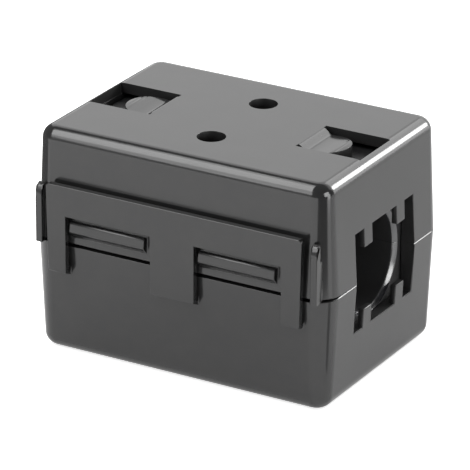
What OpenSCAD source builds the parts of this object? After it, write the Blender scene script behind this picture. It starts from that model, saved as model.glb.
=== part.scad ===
// Clip-on ferrite bead for a round cable: a two-part sintered ferrite core held in a
// one-piece moulded nylon case that folds on a film hinge and snaps shut.
//
// Frame: the origin is on the cable axis at mid length and on the parting plane.
// +X runs along the cable, -Y is the latch side, +Z is up. All sizes in millimetres.

/* [Case] */
// Length of the case along the cable, at the parting plane
case_l = 36; // [34:0.5:44]
// Width of the case, at the parting plane
case_w = 25.5; // [24.5:0.25:32]
// Height of one half of the case, parting plane to outer face
half_h = 12.65; // [12:0.05:15]
// Draft angle of the four outer walls, in degrees
draft = 2.75; // [1:0.25:4]
// Radius of the four upright corners, at the parting plane
corner_r = 2.6; // [1.6:0.1:3]
// Radius of the upright corners where they meet the outer face
corner_top_r = 1.9; // [1.6:0.1:2.4]
// Radius around the outer face of each half
edge_r = 1.5; // [0.8:0.1:1.6]
// Small bevel along the parting edges
lip_bevel = 0.04; // [0.02:0.01:0.2]
// Thickness of the end walls at the parting plane
end_wall = 1.75; // [1.4:0.05:2.5]
// Thickness of the front and back walls at the parting plane
side_wall = 1.85; // [1.7:0.05:2.6]
// Thickness of the outer face of each half
roof = 1.2; // [1:0.05:1.6]

/* [Ferrite core] */
// Bore of the closed core
bore_d = 10.9; // [9:0.1:12]
// Bevel at both ends of the bore
bore_bevel = 0.45; // [0.2:0.05:0.7]
// Play between a half-core and the walls around it
core_play = 0.1; // [0.05:0.05:0.3]
// Gap under the outer face that the spring tongues bridge
spring_gap = 0.55; // [0.4:0.05:1]
// Bevel along the outer long edges of each half-core
core_bevel = 0.6; // [0.5:0.05:1]

/* [Cable openings] */
// Width of the opening in each end wall
opening_w = 12.8; // [11:0.1:14.5]
// Height of the opening with both halves closed
opening_h = 11.2; // [10.4:0.1:13]
// Width of one cable tooth
tooth_w = 1.81; // [1.2:0.01:2.2]
// How far a tooth reaches into the opening
tooth_l = 2.1; // [1:0.1:2.6]
// Distance of each tooth's middle from the centre plane
tooth_y = 3.565; // [2.5:0.005:4]
// Thickness of a tooth
tooth_t = 0.6; // [0.4:0.05:0.9]

/* [Outer faces] */
// Length of one spring window, along the cable
window_l = 7.6; // [6.6:0.1:8.4]
// Width of one spring window
window_w = 6.6; // [5.6:0.1:8]
// Distance of a window from the end of the case
window_end = 1.55; // [1.5:0.05:2.5]
// Reach of a spring tongue from its root
tongue_l = 4.55; // [3.8:0.05:5.2]
// Side gap between a tongue and its window
tongue_gap = 0.55; // [0.4:0.05:0.9]
// How far the tongue dips below the outer face
tongue_dip = 0.62; // [0.4:0.02:0.7]
// Diameter of the two round holes in each outer face
hole_d = 3.1; // [2:0.1:4]
// Distance of those holes from the centre line
hole_y = 5.5; // [4:0.1:7]

/* [Latch] */
// Height of the latch plate above the parting plane
plate_top = 7.08; // [6.4:0.02:7.4]
// Flare of the latch plate's sides, in degrees
plate_flare = 1.3; // [0:0.1:1.5]
// Thickness of the latch plate
plate_t = 0.75; // [0.6:0.05:1]
// Gap between the latch plate and the lower half's front wall at the parting plane
plate_gap = 0.18; // [0.1:0.02:0.4]
// Radius of the latch plate's upper corners
plate_corner = 0.4; // [0.2:0.1:1]
// Width of the middle leg
mid_leg = 5.27; // [4:0.01:7]
// Width of each outer leg, at its foot
side_leg = 2.16; // [2:0.02:3]
// Upper edge of the latch windows
latch_win_top = 3.7; // [3.5:0.05:4.2]
// Length of the flexing part of the legs below the parting plane
leg_drop = 2.4; // [2:0.1:3]
// Height of the foot that joins each leg to the lower wall, at the wall
foot_h = 0.9; // [0.7:0.1:1.4]
// Height of the foot at the front of the leg, less by the slope of its underside
foot_front = 0.4; // [0.2:0.05:0.7]
// Radius of the outer lower corners of the feet
foot_r = 0.7; // [0.3:0.1:0.8]
// Play at either end of a hook in its window
hook_play = 0.6; // [0.5:0.05:1.5]
// How far the pair of hooks sits off the middle of its windows
hook_shift = -0.35; // [-0.4:0.05:0.4]
// Height of the flat ledge on the hooks
hook_top = 3; // [2.6:0.05:3.2]
// Height of the lower end of the hooks
hook_foot = 1.15; // [0.8:0.05:1.6]
// Height of the hooks' sloping underside
hook_ramp = 0.8; // [0.5:0.05:1.2]
// Reach of the hooks past the inner face of the latch plate
hook_bite = 0.45; // [0.3:0.02:0.6]
// Undercut lean of a hook's front face, from its foot to its ledge
hook_lean = 0.16; // [0:0.02:0.3]
// Bevel along the front of a hook's ledge
hook_bevel = 0.14; // [0.05:0.01:0.3]
// Gap left at the latch side of the closed parting faces, so that the cores meet first
relief = 0.34; // [0.1:0.02:0.4]
// Distance from the centre plane at which this gap begins to open
relief_y = 8; // [7:0.5:9]
// Thickness of the guard ribs beside the plate
rib_t = 0.8; // [0.6:0.05:1]
// Distance of the guard ribs from the ends of the case
rib_inset = 1; // [0.6:0.05:1.6]
// Gap between the foot of the latch plate and a guard rib, along the cable
rib_gap = 1; // [0.8:0.05:1.4]
// How far the guard ribs stand out from the parting edge
rib_out = 0.53; // [0.4:0.01:0.9]
// Height of the guard ribs
rib_top = 6.6; // [5.5:0.1:7]
// Height of the rounded upper end of the guard ribs
rib_round = 2; // [1:0.1:3]

/* [Hinge] */
// Length of the film hinge
hinge_l = 24; // [16:1:28]
// Gap between the two straps of the hinge
hinge_split = 6; // [3:0.5:10]
// Thickness of the film
film_t = 0.45; // [0.35:0.05:0.6]
// Outer radius of the film's bulge
film_r = 1.3; // [1.1:0.05:1.6]
// Straight part of the film between the bosses and the hinge line
film_stand = 0.35; // [0.3:0.05:0.6]
// Height of the bosses the film grows from
boss_h = 1.5; // [1.2:0.1:2]
// How far those bosses stand out of the back wall
boss_proud = 0.2; // [0.1:0.05:0.4]

/* [Hidden] */

nylon = [0.17, 0.17, 0.18];
ferrite = [0.1, 0.1, 0.11];
corner_fn = 48;
circle_fn = 96;
bite = 0.4;

half_l = case_l / 2;
half_w = case_w / 2;
lean = tan(draft);
core_half_l = half_l - end_wall;
core_half_w = half_w - side_wall - core_play;
core_h = half_h - roof - spring_gap;

lug_in = 0.45;
lug_l = 5;
lug_h = 0.9;
lug_nose = 0.1;
lug_neck = 0.25;

window_out = half_l - window_end;
window_in = window_out - window_l;
tongue_half_w = window_w / 2 - tongue_gap;
tongue_t = 0.85;
tongue_bend = 1.1;
tongue_rise = 0.3;
pad_start = 0.5;
pad_ramp = 0.28;

plate_in = half_w + plate_gap;
plate_out = plate_in + plate_t;
rib_in = half_l - rib_inset - rib_t;
plate_half_l = rib_in - rib_gap;
latch_win = plate_half_l - mid_leg / 2 - side_leg;
win_mid = (mid_leg + latch_win) / 2;
hook_l = latch_win - 2 * hook_play;
hook_out = plate_in + hook_bite;
rib_depth = rib_out + rib_top * lean;

boss_out = half_w + boss_proud;
axis_y = boss_out + film_stand;

// Distance of the outer wall from the middle at height z, front and back.
function wall_y(z) = half_w - abs(z) * lean;

// A smooth step from 0 to 1.
function ease(t) = let (u = max(0, min(1, t))) u * u * (3 - 2 * u);

// Upper line of a spring tongue at distance s from its root: down sharply, then gently up.
function tongue_top(s) =
    half_h - tongue_dip * ease(s / tongue_bend)
    + tongue_rise * tongue_dip * ease((s - tongue_bend) / (tongue_l - tongue_bend));

// Lower line of a spring tongue: from the full thickness of the outer face to an even
// blade, and then down to a thicker pad that rests on the core.
function tongue_under(s) =
    let (
        blade = tongue_top(s) - roof + (roof - tongue_t) * ease(s / tongue_bend),
        pad = ease((s / tongue_l - pad_start) / pad_ramp)
    )
    blade + (core_h - blade) * pad;

module lower_case() {
    color(nylon) {
        mirror([0, 0, 1]) {
            half_shell();
            core_lugs();
            hinge_boss();
        }
        leg_feet();
    }
}

module upper_case() {
    color(nylon) {
        difference() {
            half_shell();
            parting_relief();
        }
        core_lugs();
        hinge_boss();
        for (side = [-1, 1]) {
            hook(side);
            guard_rib(side);
        }
    }
}

// Plate with three legs, standing up from the lower half; flexes outwards on its legs.
module latch_plate() {
    color(nylon)
        translate([0, -plate_in, 0])
            rotate([90, 0, 0])
                linear_extrude(plate_t)
                    difference() {
                        arch_shape(
                            2 * plate_half_l,
                            -leg_drop,
                            plate_top,
                            plate_corner,
                            plate_flare
                        );
                        latch_windows(-leg_drop - 1, latch_win_top);
                    }
}

// Film hinge: two straps that leave the bosses straight and bulge round the hinge line.
module hinge_web() {
    film_mid = film_r - film_t / 2;
    color(nylon)
        translate([0, axis_y, 0])
            difference() {
                rotate([90, 0, 90])
                    linear_extrude(hinge_l, center = true) {
                        intersection() {
                            difference() {
                                circle(film_r, $fn = circle_fn);
                                circle(film_r - film_t, $fn = circle_fn);
                            }
                            translate([0, -film_r])
                                square([film_r, 2 * film_r]);
                        }
                        for (half = [-1, 1])
                            translate([-film_stand, half * film_mid - film_t / 2])
                                square([film_stand + 0.01, film_t]);
                    }
                cube([hinge_split, 3 * film_r, 2 * (film_r - film_t)], center = true);
            }
}

module lower_core() {
    color(ferrite)
        mirror([0, 0, 1]) half_core();
}

module upper_core() {
    color(ferrite)
        half_core();
}

// One half of the core: a block with half of the bore, bevelled where it would chip.
module half_core() {
    difference() {
        translate([-core_half_l, -core_half_w, 0])
            cube([2 * core_half_l, 2 * core_half_w, core_h]);
        rotate([0, 90, 0])
            cylinder(d = bore_d, h = case_l + 2, center = true, $fn = circle_fn);
        for (end = [-1, 1])
            translate([end * (core_half_l - bore_bevel), 0, 0])
                rotate([0, end * 90, 0])
                    cylinder(
                        d1 = bore_d,
                        d2 = bore_d + 4 * bore_bevel,
                        h = 2 * bore_bevel,
                        $fn = circle_fn
                    );
        for (side = [-1, 1])
            translate([0, side * core_half_w, 0])
                rotate([45, 0, 0])
                    cube([case_l + 2, core_bevel * sqrt(2), core_bevel * sqrt(2)], center = true);
    }
}

// One half of the case, parting plane down: drafted box, cavity, openings and tongues.
module half_shell() {
    difference() {
        drafted_box();
        translate([-core_half_l - core_play, -core_half_w - core_play, -1])
            cube([
                2 * (core_half_l + core_play),
                2 * (core_half_w + core_play),
                half_h - roof + 1
            ]);
        cable_opening();
        for (end = [-1, 1])
            translate([end * (window_in + window_out) / 2, 0, half_h])
                cube([window_l, window_w, 2 * roof + 0.2], center = true);
        for (side = [-1, 1])
            translate([0, side * hole_y, 0])
                cylinder(d = hole_d, h = half_h + 1, $fn = circle_fn);
    }
    for (end = [0, 1])
        mirror([end, 0, 0]) spring_tongue();
}

// Outer form of one half: four upright corners drawn in by the draft and rounded on top.
module drafted_box() {
    top_in = (half_h - edge_r) * lean;
    hull()
        for (x = [-1, 1], y = [-1, 1]) {
            translate([x * (half_l - corner_r), y * (half_w - corner_r), 0]) {
                cylinder(r = corner_r - lip_bevel, h = 0.01, $fn = corner_fn);
                translate([0, 0, lip_bevel])
                    cylinder(r = corner_r, h = 0.01, $fn = corner_fn);
            }
            translate([
                x * (half_l - corner_top_r - top_in),
                y * (half_w - corner_top_r - top_in),
                half_h - edge_r
            ])
                rotate_extrude($fn = corner_fn) {
                    square([corner_top_r - edge_r, edge_r]);
                    translate([corner_top_r - edge_r, 0])
                        intersection() {
                            circle(edge_r, $fn = corner_fn);
                            square(edge_r);
                        }
                }
        }
}

// Opening through both end walls; the teeth are left standing in its outer layer.
module cable_opening() {
    tooth_back = half_l - opening_h / 2 * lean - tooth_t;
    translate([0, 0, opening_h / 4 - 0.5])
        cube([2 * tooth_back, opening_w, opening_h / 2 + 1], center = true);
    rotate([90, 0, 90])
        linear_extrude(case_l + 2, center = true)
            difference() {
                translate([-opening_w / 2, -1])
                    square([opening_w, opening_h / 2 + 1]);
                for (side = [-1, 1])
                    translate([side * tooth_y - tooth_w / 2, opening_h / 2 - tooth_l])
                        square([tooth_w, tooth_l + 1]);
            }
}

// Leaf that presses a half-core towards the parting plane.
module spring_tongue() {
    steps = 24;
    reach = [for (i = [0 : steps]) i / steps * tongue_l];
    line_top = [for (s = reach) [s, tongue_top(s)]];
    line_under = [for (i = [steps : -1 : 0]) [reach[i], tongue_under(reach[i])]];
    root = [[-bite, tongue_under(0)], [-bite, half_h]];
    translate([window_in, 0, 0])
        intersection() {
            rotate([90, 0, 0])
                linear_extrude(2 * tongue_half_w, center = true)
                    polygon(concat(root, line_top, line_under));
            linear_extrude(half_h + 1) {
                translate([-1, -tongue_half_w])
                    square([tongue_l + 1 - tongue_half_w, 2 * tongue_half_w]);
                translate([tongue_l - tongue_half_w, 0])
                    circle(tongue_half_w, $fn = circle_fn);
            }
        }
}

// Four small wedges in the core's bevels that keep the half-core in its shell.
module core_lugs() {
    for (side = [0, 1], end = [-1, 1])
        mirror([0, side, 0])
            translate([end * core_half_l / 2, -core_half_w - core_play, 0])
                rotate([90, 0, 90])
                    linear_extrude(lug_l, center = true)
                        polygon([
                            [-bite, 0],
                            [lug_in / 3, 0],
                            [lug_in, lug_nose],
                            [lug_in / 3, lug_neck],
                            [-bite, lug_h]
                        ]);
}

// Front outline with a straight foot, two rounded upper corners and sides that flare upwards.
module arch_shape(w, low, high, r, flare = 0) {
    side = w / 2 + (high - low) * tan(flare);
    intersection() {
        union() {
            polygon([
                [-w / 2, low],
                [w / 2, low],
                [side, high - r],
                [side - r, high],
                [-side + r, high],
                [-side, high - r]
            ]);
            for (end = [-1, 1])
                translate([end * (side - r), high - r])
                    circle(r, $fn = circle_fn);
        }
        translate([-side, low])
            square([2 * side, high - low]);
    }
}

// Hook with a flat ledge above and a ramp below.
module hook(side) {
    root_y = wall_y(hook_top) - bite;
    translate([side * win_mid + hook_shift, 0, 0])
        rotate([90, 0, 90])
            linear_extrude(hook_l, center = true)
                polygon([
                    [-root_y, hook_foot],
                    [-wall_y(hook_foot), hook_foot],
                    [-hook_out, hook_foot + hook_ramp],
                    [-hook_out + hook_lean, hook_top - hook_bevel],
                    [-hook_out + hook_lean + hook_bevel, hook_top],
                    [-root_y, hook_top]
                ]);
}

// Upright rib that guards an open end of the latch plate; its upper end is rounded off.
module guard_rib(side) {
    translate([side * (rib_in + rib_t / 2), 0, 0])
        rotate([90, 0, 90])
            linear_extrude(rib_t, center = true) {
                translate([-half_w - rib_out, 0])
                    square([rib_depth + bite, rib_top - rib_round]);
                translate([-half_w - rib_out + rib_depth, rib_top - rib_round])
                    intersection() {
                        scale([rib_depth, rib_round])
                            circle(1, $fn = circle_fn);
                        translate([-rib_depth, 0])
                            square([rib_depth, rib_round]);
                    }
            }
}

// Wedge taken off the upper half's parting face, widest at the latch side.
module parting_relief() {
    tilt = atan(relief / (half_w - relief_y));
    translate([0, -relief_y, 0])
        rotate([-tilt, 0, 0])
            translate([-half_l - 1, -case_w, -1])
                cube([case_l + 2, case_w, 1]);
}

// Feet that carry the legs: three short blocks whose underside slopes back to the wall.
module leg_feet() {
    foot_low = -leg_drop - foot_h;
    intersection() {
        rotate([90, 0, 90])
            linear_extrude(case_l, center = true)
                polygon([
                    [-half_w + bite, -leg_drop],
                    [-half_w + bite, foot_low],
                    [-wall_y(foot_low), foot_low],
                    [-plate_out, -leg_drop - foot_front],
                    [-plate_out, -leg_drop]
                ]);
        rotate([90, 0, 0])
            linear_extrude(case_w)
                difference() {
                    mirror([0, 1])
                        arch_shape(2 * plate_half_l, leg_drop - 1, leg_drop + foot_h, foot_r);
                    latch_windows(foot_low - 1, 0);
                }
    }
}

// Front outlines of the two latch windows, between two heights.
module latch_windows(low, high) {
    for (side = [-1, 1])
        translate([side * win_mid - latch_win / 2, low])
            square([latch_win, high - low]);
}

// Boss on the back wall that the film grows from.
module hinge_boss() {
    translate([-hinge_l / 2, half_w - bite, film_r - film_t])
        cube([hinge_l, boss_out - half_w + bite, boss_h]);
}

lower_case();
upper_case();
latch_plate();
hinge_web();
lower_core();
upper_core();
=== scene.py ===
# %% [markdown]
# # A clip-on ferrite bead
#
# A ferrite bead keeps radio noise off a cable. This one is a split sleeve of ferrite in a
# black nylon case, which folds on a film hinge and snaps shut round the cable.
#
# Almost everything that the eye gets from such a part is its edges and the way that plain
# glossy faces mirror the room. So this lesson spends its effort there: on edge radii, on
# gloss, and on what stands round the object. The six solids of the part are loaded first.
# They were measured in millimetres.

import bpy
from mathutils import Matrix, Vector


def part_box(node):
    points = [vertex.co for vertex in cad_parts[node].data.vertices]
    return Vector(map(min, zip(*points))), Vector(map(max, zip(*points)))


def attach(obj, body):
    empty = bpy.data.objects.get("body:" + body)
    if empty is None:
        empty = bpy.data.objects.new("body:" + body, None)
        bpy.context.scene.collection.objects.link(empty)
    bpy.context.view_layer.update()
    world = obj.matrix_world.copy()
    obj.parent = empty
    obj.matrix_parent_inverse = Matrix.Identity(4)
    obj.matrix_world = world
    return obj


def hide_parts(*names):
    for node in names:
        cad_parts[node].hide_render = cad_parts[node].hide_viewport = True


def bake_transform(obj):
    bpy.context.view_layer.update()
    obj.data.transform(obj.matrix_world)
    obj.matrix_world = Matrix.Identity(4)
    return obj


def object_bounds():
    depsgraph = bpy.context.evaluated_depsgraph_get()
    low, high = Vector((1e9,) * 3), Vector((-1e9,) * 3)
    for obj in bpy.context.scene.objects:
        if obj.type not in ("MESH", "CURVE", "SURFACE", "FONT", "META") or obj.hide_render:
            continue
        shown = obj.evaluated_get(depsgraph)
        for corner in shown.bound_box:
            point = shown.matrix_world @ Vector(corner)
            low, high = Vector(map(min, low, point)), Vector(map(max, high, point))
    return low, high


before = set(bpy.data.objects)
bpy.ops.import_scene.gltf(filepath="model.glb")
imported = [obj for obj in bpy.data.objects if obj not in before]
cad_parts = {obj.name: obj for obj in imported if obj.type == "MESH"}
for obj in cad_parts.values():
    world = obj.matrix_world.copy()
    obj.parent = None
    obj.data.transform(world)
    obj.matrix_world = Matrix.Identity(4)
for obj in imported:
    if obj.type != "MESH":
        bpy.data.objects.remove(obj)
cad_box = [list(corner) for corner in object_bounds()]
print("pieces:", ", ".join(sorted(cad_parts)))

# %% [markdown]
# ## Millimetres and colours
#
# Blender works in metres, while edge radii and grain sizes are easier to think of in
# millimetres, so one factor turns them over. Colours are easier to pick as the hex codes of
# a paint chart, but a renderer adds up light, and for that the codes have to be made linear.

# %% Units and colour
import math

import bmesh
import bpy
from mathutils import Matrix, Vector

MM = 0.001


def linear(code):
    """Turn an sRGB hex code into the linear colour that the renderer works with."""
    colour = []
    for start in (0, 2, 4):
        channel = int(code[start:start + 2], 16) / 255
        dark = channel <= 0.04045
        colour.append(channel / 12.92 if dark else ((channel + 0.055) / 1.055) ** 2.4)
    return (*colour, 1.0)


size = [(high - low) / MM for low, high in zip(*cad_box)]
print("closed size in mm:", [round(side, 2) for side in size])

# %% [markdown]
# ## Writing node trees
#
# A material is a tree of nodes, and by hand each node takes three steps: make it, set it,
# wire it. One function does all three, so that a material reads from top to bottom like a
# recipe. A plain value sets a socket, and another node's output is wired to it.

# %% One function for every node
def empty_tree(owner):
    """Switch a material or world to nodes and hand back its empty tree."""
    owner.use_nodes = True
    owner.node_tree.nodes.clear()
    return owner.node_tree


def add(tree, kind, inputs=None, **settings):
    """Add a node, with its settings and with a value or a link for each named input."""
    node = tree.nodes.new(kind)
    for key, value in settings.items():
        setattr(node, key, value)
    for key, value in (inputs or {}).items():
        if isinstance(value, bpy.types.NodeSocket):
            tree.links.new(value, node.inputs[key])
        else:
            node.inputs[key].default_value = value
    return node


# %% [markdown]
# ## Moulded nylon
#
# The case is black polyamide, shot into a steel mould. Outside the mould is polished, and the
# plastic comes out smooth enough to mirror its surroundings, with a soft edge to every
# reflection. Inside, the steel keeps the matt finish that spark erosion leaves, so the hidden
# walls stay dull; they are also drawn darker than the outside, as painted shade.
#
# Three things keep the skin from looking like glass: a very fine grain that the mould's last
# finish leaves, a slow waviness where thick and thin walls shrink unevenly, and gloss that
# differs a little from place to place as the melt meets a warmer or colder mould.
#
# An image of plastic would need unwrapped faces. Noise in the object's own space costs
# nothing, has no seams and keeps its true scale on every piece, so it is used here. The two
# finishes are one recipe with other numbers.

# %% Noise with a size in millimetres
# Most noise values lie between these two, whatever the scale.
NOISE_LOW = 0.3
NOISE_HIGH = 0.7


def noise_per_mm(size_mm):
    """Scale of a noise texture whose blobs are about this many millimetres across."""
    return 1 / (size_mm * MM)


for blob_mm in (7.0, 0.16):
    print("noise scale for blobs of", blob_mm, "mm:", round(noise_per_mm(blob_mm), 1))

# %% Moulded nylon
# Plain nylon has 1.53. This black, filled grade shines a little more.
NYLON_IOR = 1.58


def moulded_nylon(name, dark, light, smoothest, roughest, grain_relief):
    """Black injection-moulded polyamide; grain_relief is its depth in millimetres."""
    material = bpy.data.materials.new(name)
    tree = empty_tree(material)
    place = add(tree, "ShaderNodeTexCoord").outputs["Object"]

    # Carbon black never spreads quite evenly: the tone drifts between two near blacks.
    tone = add(tree, "ShaderNodeTexNoise", {
        "Vector": place,
        "Scale": noise_per_mm(2.5),
        "Detail": 3.0,
    })
    colour = add(tree, "ShaderNodeMix", {
        "Factor": tone.outputs["Fac"],
        "A": linear(dark),
        "B": linear(light),
    }, data_type="RGBA")

    # Gloss drifts over a few millimetres.
    patches = add(tree, "ShaderNodeTexNoise", {
        "Vector": place,
        "Scale": noise_per_mm(4.0),
        "Detail": 2.0,
    })
    roughness = add(tree, "ShaderNodeMapRange", {
        "Value": patches.outputs["Fac"],
        "From Min": NOISE_LOW,
        "From Max": NOISE_HIGH,
        "To Min": smoothest,
        "To Max": roughest,
    })

    # Uneven shrinkage bends a reflection by a fraction of a degree over 7 mm.
    shrink = add(tree, "ShaderNodeTexNoise", {
        "Vector": place,
        "Scale": noise_per_mm(7.0),
        "Detail": 1.0,
    })
    wavy = add(tree, "ShaderNodeBump", {
        "Height": shrink.outputs["Fac"],
        "Strength": 1.0,
        "Distance": 0.03 * MM,
    })

    # The mould's finish leaves marks of some 0.02 mm. They are drawn 0.16 mm wide, or the
    # render could not show them.
    grain = add(tree, "ShaderNodeTexNoise", {
        "Vector": place,
        "Scale": noise_per_mm(0.16),
        "Detail": 2.0,
    })
    skin = add(tree, "ShaderNodeBump", {
        "Height": grain.outputs["Fac"],
        "Strength": 1.0,
        "Distance": grain_relief * MM,
        "Normal": wavy.outputs["Normal"],
    })

    plastic = add(tree, "ShaderNodeBsdfPrincipled", {
        "Base Color": colour.outputs["Result"],
        "Roughness": roughness.outputs["Result"],
        "IOR": NYLON_IOR,
        "Normal": skin.outputs["Normal"],
    })
    add(tree, "ShaderNodeOutputMaterial", {"Surface": plastic.outputs["BSDF"]})
    return material


# Polished steel: soft-edged reflections, and a grain that only breaks them up a little.
nylon = moulded_nylon("polished_nylon", "2a2a2c", "343433", 0.11, 0.16, 0.0014)
# Spark-eroded steel: four times the relief, and no reflection that has a shape.
# Its darker tones are painted shade for the hidden walls; the nylon itself is as dark as
# outside.
eroded_nylon_painted_shade = moulded_nylon("eroded_nylon_painted_shade", "141415", "1e1e1e", 0.50, 0.60, 0.006)
print("materials:", nylon.name, "and", eroded_nylon_painted_shade.name)

# %% [markdown]
# ## Sintered and ground ferrite
#
# Ferrite is pressed from powder and fired like a ceramic. Its skin is dark grey, hard and
# fine-grained, with open pores, and much duller than the nylon; here it is drawn darker still,
# as painted shade for a core that sits deep inside the case. The two faces that meet must
# touch without a gap, so they are ground flat afterwards, and the wheel leaves straight
# hairlines along the core. The bevels at the ends of the bore shine as much and share that
# finish.
#
# Both are one recipe with other numbers: the ground finish stretches its noise along the
# cable, is paler and far smoother. Two materials are made from it, and the mesh says which
# face gets which.

# %% Sintered and ground ferrite
# Dense ferrite is a little above 2; the pores bring it down.
FERRITE_IOR = 2.0
GLOSS_DRIFT = 0.05


def fired_ferrite(name, dark, light, roughness, shine, grain_mm, relief_mm):
    """Ferrite ceramic with grains of the given size in millimetres along X, Y and Z."""
    material = bpy.data.materials.new(name)
    tree = empty_tree(material)
    place = add(tree, "ShaderNodeTexCoord").outputs["Object"]
    stretched = add(tree, "ShaderNodeMapping", {
        "Vector": place,
        "Scale": [noise_per_mm(length) for length in grain_mm],
    })
    grain = add(tree, "ShaderNodeTexNoise", {
        "Vector": stretched.outputs["Vector"],
        "Scale": 1.0,
        "Detail": 4.0,
    })
    colour = add(tree, "ShaderNodeMix", {
        "Factor": grain.outputs["Fac"],
        "A": linear(dark),
        "B": linear(light),
    }, data_type="RGBA")
    gloss = add(tree, "ShaderNodeMapRange", {
        "Value": grain.outputs["Fac"],
        "From Min": NOISE_LOW,
        "From Max": NOISE_HIGH,
        "To Min": roughness - GLOSS_DRIFT,
        "To Max": roughness + GLOSS_DRIFT,
    })
    skin = add(tree, "ShaderNodeBump", {
        "Height": grain.outputs["Fac"],
        "Strength": 1.0,
        "Distance": relief_mm * MM,
    })
    ceramic = add(tree, "ShaderNodeBsdfPrincipled", {
        "Base Color": colour.outputs["Result"],
        "Roughness": gloss.outputs["Result"],
        "IOR": FERRITE_IOR,
        "Specular IOR Level": shine,
        "Normal": skin.outputs["Normal"],
    })
    add(tree, "ShaderNodeOutputMaterial", {"Surface": ceramic.outputs["BSDF"]})
    return material


# Powder grains are some 0.01 mm. They are drawn 0.12 mm wide so that they show. The pores
# between them swallow part of every highlight, so the shine is below the usual 0.5.
# Its tones are darker than fired ferrite's own grey: partly its colour, partly painted shade.
sintered_painted_shade = fired_ferrite(
    "sintered_ferrite_painted_shade",
    "0f0f11",
    "18181a",
    roughness=0.60,
    shine=0.3,
    grain_mm=(0.12, 0.12, 0.12),
    relief_mm=0.003,
)
# Grinding lines are drawn 0.1 mm apart and 6 mm long, coarser than a real wheel leaves.
ground = fired_ferrite(
    "ground_ferrite",
    "2c2c30",
    "3c3c41",
    roughness=0.20,
    shine=0.5,
    grain_mm=(6.0, 0.1, 0.1),
    relief_mm=0.0008,
)
print("materials:", sintered_painted_shade.name, "and", ground.name)

# %% [markdown]
# ## From sharp solids to moulded pieces
#
# The measured solids end in perfectly sharp edges. No tool cuts and no mould fills such an
# edge. A real one has a small radius, and that radius catches the thin bright line by which
# we read a dark shape at all.
#
# One could sculpt a subdivision cage over each solid, but a cage drifts away from the
# measured walls. A bevel keeps every flat face exactly where it was measured and only
# touches its rim, so each solid is copied, welded, stripped of the triangles inside its flat
# faces, and bevelled. The radius differs from edge to edge and is written on the edges as a
# weight. Where there is no room for it, next to a sliver, the edge stays crisp.

# %% Weld a solid into clean faces
SAME_PLACE = 0.001
FLAT = math.radians(0.3)


def clean_mesh(name):
    """Copy a solid, weld its corners, and join the triangles of each flat face."""
    mesh = bmesh.new()
    mesh.from_mesh(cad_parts[name].data)
    bmesh.ops.remove_doubles(mesh, verts=mesh.verts, dist=SAME_PLACE * MM)
    bmesh.ops.dissolve_limit(
        mesh,
        angle_limit=FLAT,
        verts=mesh.verts,
        edges=mesh.edges,
    )
    return mesh


def room_beside(edge):
    """How deep the narrower of the two faces beside an edge is, measured from the edge."""
    start, end = (vert.co for vert in edge.verts)
    along = (end - start).normalized()
    depths = []
    for face in edge.link_faces:
        reach = [(vert.co - start) for vert in face.verts]
        depths.append(max((arm - along * arm.dot(along)).length for arm in reach))
    return min(depths)


# %% Write a radius on every edge
# Edges that turn less than this are facets of a curve, and get no radius of their own.
TURN = math.radians(28)
# A weight runs from 0 to 1, and 1 stands for the largest radius.
LARGEST = 0.4 * MM
CRISP = 0.012 * MM
# Two radii may meet on a narrow face, so each takes less than half of it.
ROOM_SHARE = 0.42


def weigh_edges(mesh, radius_at):
    """Store a bevel weight on each edge; radius_at gives millimetres for a place in them."""
    weight = mesh.edges.layers.float.new("bevel_weight_edge")
    rounded = 0
    for edge in mesh.edges:
        if len(edge.link_faces) != 2 or edge.calc_face_angle() < TURN:
            continue
        middle = (edge.verts[0].co + edge.verts[1].co) / 2 / MM
        radius = min(radius_at(middle) * MM, ROOM_SHARE * room_beside(edge))
        if radius > CRISP:
            edge[weight] = radius / LARGEST
            rounded += 1
        else:
            edge.smooth = False
    print("edges with a radius:", rounded)


# %% Turn a cleaned mesh into a finished piece
def finished_piece(mesh, name, materials, steps=3):
    """Bevel the weighted edges, keep the result as a mesh, and let it stand for its solid."""
    data = bpy.data.meshes.new(name + "_sharp")
    mesh.to_mesh(data)
    mesh.free()
    for old in ("custom_normal", "sharp_face"):
        if old in data.attributes:
            data.attributes.remove(data.attributes[old])
    for material in materials:
        data.materials.append(material)
    piece = bpy.data.objects.new(name + "_rounded", data)
    bpy.context.collection.objects.link(piece)

    bevel = piece.modifiers.new("radius", "BEVEL")
    bevel.limit_method = "WEIGHT"
    bevel.width = LARGEST
    bevel.segments = steps
    bevel.use_clamp_overlap = False
    bevel.loop_slide = False
    graph = bpy.context.evaluated_depsgraph_get()
    rounded = bpy.data.meshes.new_from_object(piece.evaluated_get(graph))
    piece.modifiers.clear()
    piece.data = rounded
    rounded.name = name + "_rounded"

    # A radius may swell past a wall by a few hundredths; the measured box holds it back.
    low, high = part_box(name)
    for vert in rounded.vertices:
        walls = zip(vert.co, low, high)
        vert.co = [min(max(value, least), most) for value, least, most in walls]
    rounded.shade_smooth()

    # Large faces set the shading of the corners that they share with narrow ones, so flat
    # stays flat and only the radius turns the light.
    flatten = piece.modifiers.new("flat faces stay flat", "WEIGHTED_NORMAL")
    flatten.weight = 100
    flatten.keep_sharp = True

    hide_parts(name)
    print(piece.name, "faces:", len(rounded.polygons))
    return piece


# %% [markdown]
# ## The parting edge
#
# Where the halves meet, the measured solids have a bevel of a few hundredths of a
# millimetre. It decides how the seam looks. At the two ends of the case it catches a lamp
# and draws a pale line, so it is made wider there. Along the front and the back the seam is a
# hairline, so it is made narrower. Nothing has to be added for that: the corners of the bevel
# are moved, and on the lower half alone.

# %% Redraw the parting edge
LIP = 0.04
WIDE_LIP = 0.08
FINE_LIP = 0.01
CLOSE = 0.002 * MM


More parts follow.
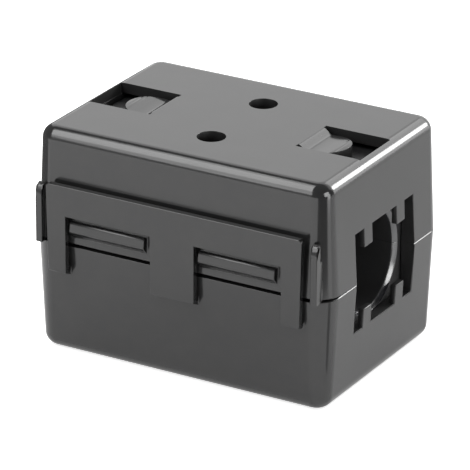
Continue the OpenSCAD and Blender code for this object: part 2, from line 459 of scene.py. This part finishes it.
def lip_pairs(mesh):
    """Yield the two ends of each short edge that crosses the bevel at the parting plane."""
    for edge in mesh.edges:
        inner, outer = sorted(edge.verts, key=lambda vert: abs(vert.co.z))
        at_parting = abs(inner.co.z) < CLOSE
        at_lip = abs(abs(outer.co.z) - LIP * MM) < CLOSE
        if at_parting and at_lip and edge.calc_length() < 2 * LIP * MM:
            yield inner, outer


def redraw_lip(mesh):
    """Widen the bevel on the parting edge at the two ends, narrow it front and back."""
    pairs = list(lip_pairs(mesh))
    for inner, outer in pairs:
        across = inner.co - outer.co
        across.z = 0
        towards_end = abs(across.x) / across.length
        lip = FINE_LIP + (WIDE_LIP - FINE_LIP) * towards_end
        inner.co += across * (lip / LIP - 1)
        outer.co.z *= lip / LIP
    print("lip corners moved:", len(pairs))


# %% [markdown]
# ## Polished outside, matt inside
#
# The walls of the windows, of the cable openings and of the cavity are eroded, and the outer
# skin is polished; the inner walls are also drawn darker, as painted shade. Sorting the faces
# by hand would have to be done again after every change of shape. A rule does it instead: a
# face is outside when it lies on the drafted box that bounds the half, or when it is close to
# that box and looks outwards, as the rounded edges and the tops of the tongues do.

# %% Tell the inside of the case from its outside
HALF_LENGTH = 18
HALF_WIDTH = 12.75
HALF_HEIGHT = 12.65
DRAFT = math.tan(math.radians(2.75))
# Depths in millimetres under the bounding walls: of the skin itself, of a rounded edge, and
# the most at which a wall still counts as near.
SKIN = 0.05
ROUNDED_DEPTH = 0.9
NEAR = 2.7
FACING_OUT = 0.5


def is_outside(face):
    """True for the polished outer skin, its rounded edges and the tops of the tongues."""
    at = face.calc_center_median() / MM
    height = abs(at.z)
    depths = (
        HALF_LENGTH - DRAFT * height - abs(at.x),
        HALF_WIDTH - DRAFT * height - abs(at.y),
        HALF_HEIGHT - height,
    )
    if min(depths) < SKIN:
        return True
    outwards = sum(
        part * math.copysign(1, place)
        for part, place, depth in zip(face.normal, at, depths)
        if depth < NEAR
    )
    return min(depths) < ROUNDED_DEPTH and outwards > FACING_OUT


def finish_and_shade_inside(mesh):
    """Give every hidden wall the second material of the piece: matt, and darker as painted
    shade.
    """
    for face in mesh.faces:
        face.material_index = 0 if is_outside(face) else 1
    print("inside faces:", sum(face.material_index for face in mesh.faces))


# %% [markdown]
# ## The two case halves
#
# Each half is a drafted box, open at the parting plane, with a spring tongue in two windows
# of its outer face. A mould is polished by hand, which rounds most edges to a tenth of a
# millimetre. The windows, the tongues and the round holes come from small inserts that no
# hand can polish, so their rims are crisper. The parting edge has its own bevel already and
# gets no radius. Nor do the feet under the latch legs where they touch the legs: feet and
# legs are one moulding, and a radius there would show as a seam that the part doesn't have.

# %% Places on the case, in millimetres
LEG_FOOT = -2.4
CASE_FRONT = -12.8
HOLE_AT = 5.5
HOLE_REACH = 1.7
WINDOW_START = 8.7
WINDOW_END = 16.6
WINDOW_HALF_WIDTH = 3.45
WINDOW_HEIGHT = 11


def on_hole_rim(at):
    """True at the rim of one of the round holes in the outer faces."""
    return math.hypot(at.x, abs(at.y) - HOLE_AT) < HOLE_REACH


def in_window(at):
    """True for the edges of a spring window and of the tongue in it."""
    along = WINDOW_START < abs(at.x) < WINDOW_END
    return along and abs(at.y) < WINDOW_HALF_WIDTH and abs(at.z) > WINDOW_HEIGHT


# %% Edge radii of the case, in millimetres
NO_RADIUS = 0.0
CUT_RIM = 0.03
POLISHED_EDGE = 0.12
FOOT_EDGE = 0.06
PARTING_ZONE = 1.1 * WIDE_LIP
TOUCHING = 0.02


def case_radius(at):
    """Radius on either half, with the hooks and the guard ribs."""
    if on_hole_rim(at) or in_window(at):
        return CUT_RIM
    return NO_RADIUS if abs(at.z) < PARTING_ZONE else POLISHED_EDGE


def lower_case_radius(at):
    """Radius on the lower half, which also has the feet of the latch legs."""
    if at.y >= CASE_FRONT or abs(at.z) < PARTING_ZONE:
        return case_radius(at)
    return NO_RADIUS if abs(at.z - LEG_FOOT) < TOUCHING else FOOT_EDGE


# %% Lower case
lower_mesh = clean_mesh("lower_case")
redraw_lip(lower_mesh)
finish_and_shade_inside(lower_mesh)
weigh_edges(lower_mesh, lower_case_radius)
lower_case = finished_piece(lower_mesh, "lower_case", [nylon, eroded_nylon_painted_shade])
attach(lower_case, "lower")

# %% Upper case
upper_mesh = clean_mesh("upper_case")
finish_and_shade_inside(upper_mesh)
weigh_edges(upper_mesh, case_radius)
upper_case = finished_piece(upper_mesh, "upper_case", [nylon, eroded_nylon_painted_shade])
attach(upper_case, "upper")

# %% [markdown]
# ## The two half-cores
#
# Pressed ferrite is tumbled before it is ground, so its outer edges are blunt, while the rim
# of the ground face is sharp. The ends of the bore are bevelled, and tumbling turns the two
# corners of that bevel into one round, smooth lip, which shines inside the cable opening. So
# the lip gets the ground finish too, and the rest of the block the fired one with its painted
# shade.

# %% Edge radii of a half-core, in millimetres
BORE_REACH = 6.5
GROUND_RIM = 0.04
BORE_LIP = 0.12
TUMBLED_EDGE = 0.25


def core_radius(at):
    """Radius of the edge at a place on a half-core."""
    if abs(at.z) < TOUCHING:
        return GROUND_RIM
    if math.hypot(at.y, at.z) < BORE_REACH:
        return BORE_LIP
    return TUMBLED_EDGE


# %% Lower and upper core
# How much of a bevel's normal points along the cable: more than a wall's, less than an end's.
LEAST_BEVEL = 0.5
MOST_BEVEL = 0.9
ON_PARTING = 0.01


def is_ground(face):
    """True for the face that meets the other half-core and for the bevels of the bore."""
    middle = face.calc_center_median() / MM
    near_bore = math.hypot(middle.y, middle.z) < BORE_REACH
    bevelled = LEAST_BEVEL < abs(face.normal.x) < MOST_BEVEL
    return abs(middle.z) < ON_PARTING or (near_bore and bevelled)


def half_core(name):
    """One half-core: blunt outside, crisp and ground where it meets the other."""
    mesh = clean_mesh(name)
    weigh_edges(mesh, core_radius)
    for face in mesh.faces:
        face.material_index = 1 if is_ground(face) else 0
    return finished_piece(mesh, name, [sintered_painted_shade, ground], steps=4)


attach(half_core("lower_core"), "lower")
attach(half_core("upper_core"), "upper")

# %% [markdown]
# ## The latch plate
#
# The plate stands on three thin legs that grow out of the lower half. To open the case a
# fingernail pulls it forward, and the legs bend. A rigid plate on a hinge would break away
# from its feet. A mesh only bends where it has rings of points, so the legs get cuts every
# few tenths of a millimetre before the edges are rounded.

# %% Latch plate with sliced legs
LEG_TOP = 0.4
BENDS = 10


def cut_level(mesh, height):
    """Slice a mesh at a height in millimetres without taking anything away."""
    bmesh.ops.bisect_plane(
        mesh,
        geom=mesh.verts[:] + mesh.edges[:] + mesh.faces[:],
        plane_co=(0, 0, height * MM),
        plane_no=(0, 0, 1),
    )


def plate_radius(at):
    """Edge radius in millimetres on the latch plate and its legs."""
    return NO_RADIUS if abs(at.z - LEG_FOOT) < TOUCHING else FOOT_EDGE


plate_mesh = clean_mesh("latch_plate")
for step in range(1, BENDS):
    cut_level(plate_mesh, LEG_FOOT + (LEG_TOP - LEG_FOOT) * step / BENDS)
weigh_edges(plate_mesh, plate_radius)
plate = finished_piece(plate_mesh, "latch_plate", [nylon])
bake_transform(plate)

# %% [markdown]
# ## The film hinge
#
# Two straps of film, less than half a millimetre thick, bulge out behind the case and join
# its halves. They bend as the case opens. The edges get a small radius, except beside the gap
# between the straps, where the faces are too narrow for one.

# %% Film hinge across the parting line
HALF_SPLIT = 3.2
FILM_EDGE = 0.1


def film_radius(at):
    """Edge radius in millimetres on the hinge film; crisp where the straps part."""
    return NO_RADIUS if abs(at.x) < HALF_SPLIT else FILM_EDGE


film_mesh = clean_mesh("hinge_web")
weigh_edges(film_mesh, film_radius)
film = finished_piece(film_mesh, "hinge_web", [nylon])
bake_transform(film)

# %% [markdown]
# ## Floor and backdrop
#
# The part lies on a large pale sheet. Its glossy sides mirror that sheet, so the sheet
# matters more than any lamp for the tone of the front and right faces. It shines a little of
# its own light at the rays that look at it or mirror it, while the rays that light other
# things see a plain matt surface. So it renders white, keeps the part's shadow, and doesn't
# light the part from below more than a sheet of paper would.
#
# The front faces mirror the sheet before the part and the ends mirror it further back, where
# a real sheet gets less light. One fade along Y gives both their tone.

# %% Pale sheet
PAPER = "f4f4f4"
FADE_REACH = 45 * MM


def pale_sheet(seen, mirrored_front, mirrored_back):
    """Matt white paper that glows for the camera and, fading backwards, in reflections."""
    material = bpy.data.materials.new("pale_paper")
    tree = empty_tree(material)
    paper = add(tree, "ShaderNodeBsdfDiffuse", {"Color": linear(PAPER)})
    path = add(tree, "ShaderNodeLightPath")
    place = add(tree, "ShaderNodeTexCoord").outputs["Object"]
    parts = add(tree, "ShaderNodeSeparateXYZ", {"Vector": place})
    mirrored = add(tree, "ShaderNodeMapRange", {
        "Value": parts.outputs["Y"],
        "From Min": -FADE_REACH,
        "From Max": FADE_REACH,
        "To Min": mirrored_front,
        "To Max": mirrored_back,
    })
    strength = add(tree, "ShaderNodeMapRange", {
        "Value": path.outputs["Is Camera Ray"],
        "To Min": mirrored.outputs["Result"],
        "To Max": seen,
    })
    glow = add(tree, "ShaderNodeEmission", {"Strength": strength.outputs["Result"]})
    lit = add(tree, "ShaderNodeAddShader", {0: glow.outputs[0], 1: paper.outputs[0]})
    looked_at = add(tree, "ShaderNodeMath", {
        0: path.outputs["Is Camera Ray"],
        1: path.outputs["Is Glossy Ray"],
    }, operation="MAXIMUM")
    looked_at = add(tree, "ShaderNodeMath", {
        0: looked_at.outputs[0],
        1: path.outputs["Is Transmission Ray"],
    }, operation="MAXIMUM")
    either = add(tree, "ShaderNodeMixShader", {
        0: looked_at.outputs[0],
        1: paper.outputs[0],
        2: lit.outputs[0],
    })
    add(tree, "ShaderNodeOutputMaterial", {"Surface": either.outputs[0]})
    return material


# %% Lay the floor
FLOOR = cad_box[0][2]
HALF_FLOOR = 3.0


def card(name, corners, material):
    """A flat sheet through the given corners, which stands round the object."""
    data = bpy.data.meshes.new(name)
    data.from_pydata(corners, [], [tuple(range(len(corners)))])
    sheet = bpy.data.objects.new(name, data)
    bpy.context.collection.objects.link(sheet)
    data.materials.append(material)
    return sheet


floor_corners = [
    (x * HALF_FLOOR, y * HALF_FLOOR, FLOOR)
    for x, y in ((-1, -1), (1, -1), (1, 1), (-1, 1))
]
card("floor", floor_corners, pale_sheet(seen=0.8, mirrored_front=0.70, mirrored_back=0.20))
print("floor at", round(FLOOR / MM, 2), "mm, side", 2 * HALF_FLOOR, "m")

# %% [markdown]
# ## Dim walls
#
# Past the sheet comes the studio itself. It is dim, so that the lamps draw clear shapes on
# the glossy plastic, but white where the camera looks straight at it.

# %% Dim walls
WALLS_MIRRORED = 0.2
WALLS_SEEN = 1.0

world = bpy.data.worlds.new("studio")
bpy.context.scene.world = world
walls = empty_tree(world)
ray = add(walls, "ShaderNodeLightPath")
glow = add(walls, "ShaderNodeMapRange", {
    "Value": ray.outputs["Is Camera Ray"],
    "To Min": WALLS_MIRRORED,
    "To Max": WALLS_SEEN,
})
air = add(walls, "ShaderNodeBackground", {
    "Color": (1, 1, 1, 1),
    "Strength": glow.outputs["Result"],
})
add(walls, "ShaderNodeOutputWorld", {"Surface": air.outputs["Background"]})
print("walls glow at", WALLS_MIRRORED, "and look", WALLS_SEEN)

# %% [markdown]
# ## Lamps
#
# A black glossy object is lit by what it mirrors, so every lamp stands where one edge or
# face looks at it. A soft box over the front left, with a brighter heart, draws the band
# along the front of the upper edge, and a weak fill in front lets the band fade downwards. A
# wide dim wall behind fills the top face with grey. A small lamp low behind on the right
# draws the white line between the top and the right face and the pale seam at that end, and
# a foot and a halo round it let them fade out. A near lamp at the right shines on the lip of
# the bore. Each lamp is set by the radiance of its surface, which is what a mirror shows, and
# its power follows from that.

# %% How a soft box is placed
CABLE = Vector((1, 0, 0))
UPRIGHT = Vector((0, 0, 1))


def heading(azimuth, elevation):
    """Unit vector; azimuth 0 is the latch side and turns towards +X, in degrees."""
    around, above = math.radians(azimuth), math.radians(elevation)
    return Vector((
        math.sin(around) * math.cos(above),
        -math.cos(around) * math.cos(above),
        math.sin(above),
    ))


def soft_box(name, place, width, height, radiance, side=CABLE):
    """Rectangular lamp that faces the object; its place and its sides are in metres."""
    light = bpy.data.lights.new(name, "AREA")
    light.shape = "RECTANGLE"
    light.size = width
    light.size_y = height
    light.energy = radiance * math.pi * width * height
    lamp = bpy.data.objects.new(name, light)
    bpy.context.collection.objects.link(lamp)
    back = place.normalized()
    side = (side - back * side.dot(back)).normalized()
    turn = Matrix((side, back.cross(side), back)).transposed()
    lamp.matrix_world = Matrix.Translation(place) @ turn.to_4x4()
    lamp.visible_camera = False
    print(name, "power in W:", round(light.energy, 2))
    return lamp


# %% Lamps over the front edge and behind
# The front edge runs along X, so what it mirrors lies on a cone round X that opens to the left.
CONE_SIDE = -0.459
CONE_REACH = 0.888


def over_front(angle, distance):
    """A place that the front edge mirrors; 90 is overhead and 180 is level in front."""
    lift = math.radians(angle)
    across = CONE_REACH * math.cos(lift)
    above = CONE_REACH * math.sin(lift)
    return Vector((CONE_SIDE, across, above)) * distance


soft_box("soft_box_over", over_front(124.5, 0.5), 0.14, 0.74, 3.4)
soft_box("soft_box_heart", over_front(118, 0.5), 0.14, 0.34, 2.2)
soft_box("front_fill", over_front(168, 0.5), 0.2, 0.19, 0.4)
soft_box("back_wall", Vector((0, 1.0, 0.60)), 2.4, 1.3, 1.2)

# %% Lamps for the right end
# The halo lies along the line between the top and the right face.
HALO_TOWARDS = Vector((0.255, 0.798, 0.546))
HALO_SIDE = Vector((0.906, 0, -0.423))
LIP_TOWARDS = heading(78, 20)

soft_box("rim_lamp", heading(150, 22) * 0.6, 0.17, 0.15, 11.0)
soft_box("rim_foot", heading(145, 8) * 0.6, 0.24, 0.17, 2.0)
soft_box("rim_halo", HALO_TOWARDS * 0.6, 0.5, 0.25, 1.6, HALO_SIDE)
lip_side = UPRIGHT.cross(LIP_TOWARDS)
side_lamp = soft_box("side_lamp", LIP_TOWARDS * 0.3, 0.16, 0.14, 6.0, lip_side)
# It is there for the shine alone, and would light the right face too much otherwise.
side_lamp.visible_diffuse = False

# %% [markdown]
# ## Graded cards
#
# Where a rounded corner mirrors nothing but white paper it melts into the background. In a
# studio, cards stand beside such an object, just out of view: a dark one gives the corner a
# dark line, and a bright one gives it a highlight. The cards here are only seen in
# reflections. They fade along one direction, so that the line fades too.

# %% Graded cards
def graded_card(name, start, end, top, axis, dark_at, light_at, dark, light):
    """Upright card between two places on the floor, in millimetres; its tone fades."""
    material = bpy.data.materials.new(name)
    tree = empty_tree(material)
    place = add(tree, "ShaderNodeTexCoord").outputs["Object"]
    parts = add(tree, "ShaderNodeSeparateXYZ", {"Vector": place})
    tone = add(tree, "ShaderNodeMapRange", {
        "Value": parts.outputs[axis],
        "From Min": dark_at * MM,
        "From Max": light_at * MM,
        "To Min": dark,
        "To Max": light,
    })
    glow = add(tree, "ShaderNodeEmission", {"Strength": tone.outputs["Result"]})
    add(tree, "ShaderNodeOutputMaterial", {"Surface": glow.outputs["Emission"]})
    (x0, y0), (x1, y1) = start, end
    foot = FLOOR / MM
    corners = [(x0, y0, foot), (x1, y1, foot), (x1, y1, top), (x0, y0, top)]
    sheet = card(name, [[value * MM for value in corner] for corner in corners], material)
    sheet.visible_camera = False
    sheet.visible_diffuse = False
    sheet.visible_shadow = False
    print(name, "tone from", dark, "to", light)


# %% Stand the cards round the part
# Dark, along the left: the line down the left corner and over the left end of the top.
graded_card("card_left", (-55, -40), (-55, 60), 12, "Y", 30, -40, 0.06, 0.40)
# Dark, at the front right: the line down the right corner of the upper half.
graded_card("card_right", (33, -53), (58, -20), 12, "Z", -4, -13, 0.25, 0.55)
# Paler and low: a fainter line down the same corner of the lower half.
graded_card("card_low", (25.6, -12.7), (25.6, -10.7), -4, "Z", 0, 1, 0.55, 0.55)
# Bright: the highlight beside the upper line, and a glint in the cable opening.
graded_card("card_glow", (42.3, -15.0), (42.3, -6.5), 18, "Z", 1, 7, 1.8, 5.0)

# %% [markdown]
# ## Camera
#
# The view is a long lens from the front right, a little above. A long lens keeps parallel
# edges parallel, as in a catalogue. The camera is placed by angles round the object and then
# turned by the roll of a hand-set tripod.

# %% Camera
# The side of the square frame and the focal length, both in pixels of the render.
FRAME = 470
FOCAL = 4122.16
SENSOR = 36
# Where the camera stands, in degrees round the part and above its level.
AZIMUTH = 29.89
ELEVATION = 22.98
ROLL = math.radians(0.26)
DISTANCE = 439.97 * MM
SIDE_STEP = -0.22 * MM
RISE = -0.50 * MM

towards = heading(AZIMUTH, ELEVATION)
right = UPRIGHT.cross(towards).normalized()
up = towards.cross(right)
target = right * SIDE_STEP + up * RISE
side = right * math.cos(ROLL) + up * math.sin(ROLL)
top = up * math.cos(ROLL) - right * math.sin(ROLL)

camera = bpy.data.objects.new("camera", bpy.data.cameras.new("camera"))
bpy.context.collection.objects.link(camera)
turn = Matrix((side, top, towards)).transposed()
camera.matrix_world = Matrix.Translation(target + towards * DISTANCE) @ turn.to_4x4()
camera.data.sensor_width = SENSOR
camera.data.lens = SENSOR * FOCAL / FRAME
camera.data.clip_start = 0.01
camera.data.clip_end = 20
bpy.context.scene.camera = camera
bpy.context.scene.view_settings.view_transform = "Standard"
print("lens in mm:", round(camera.data.lens, 1))
